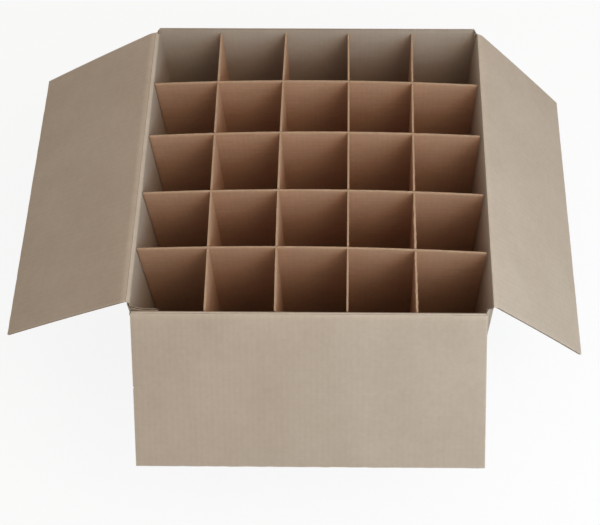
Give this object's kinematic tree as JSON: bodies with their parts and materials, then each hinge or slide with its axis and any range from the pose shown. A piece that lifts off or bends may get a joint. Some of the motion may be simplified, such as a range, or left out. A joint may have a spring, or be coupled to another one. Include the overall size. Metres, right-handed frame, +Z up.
{
  "type": "bottle shipping box",
  "caption": "Open corrugated carton with folding top flaps and interlocked divider strips that part it into cells for bottles.",
  "frame": {"origin": "middle of the bottom, at the underside of the tape that the box stands on", "axes": "+X to the right, +Y to the back, +Z up, with the box open towards +Z"},
  "size_m": [0.6828, 0.5764, 0.3272],
  "materials": {
    "box_board": "matte",
    "divider_board": "matte",
    "tape": "satin"
  },
  "bodies": {
    "carton": {"box_body": "box_board", "bottom_tape": "tape", "row_divider_1": "divider_board", "row_divider_2": "divider_board", "row_divider_3": "divider_board", "row_divider_4": "divider_board", "column_divider_1": "divider_board", "column_divider_2": "divider_board", "column_divider_3": "divider_board", "column_divider_4": "divider_board"},
    "flap_left": {"top_flap_left": "box_board"},
    "flap_right": {"top_flap_right": "box_board"},
    "flap_front": {"top_flap_front": "box_board"},
    "flap_back": {"top_flap_back": "box_board"}
  },
  "joints": [
    {"name": "left_flap_fold", "type": "hinge", "parent": "carton", "child": "flap_left", "pos_m": [-0.2034, 0, 0.3242], "axis": [0, 1, 0], "range_deg": [-51, 214]},
    {"name": "right_flap_fold", "type": "hinge", "parent": "carton", "child": "flap_right", "pos_m": [0.2034, 0, 0.3242], "axis": [0, -1, 0], "range_deg": [-33.5, 231.5]},
    {"name": "front_flap_fold", "type": "hinge", "parent": "carton", "child": "flap_front", "pos_m": [0, -0.1934, 0.3276], "axis": [-1, 0, 0], "range_deg": [-37.5, 227.5]},
    {"name": "back_flap_fold", "type": "hinge", "parent": "carton", "child": "flap_back", "pos_m": [0, 0.1934, 0.3276], "axis": [1, 0, 0], "range_deg": [-13, 252]}
  ]
}
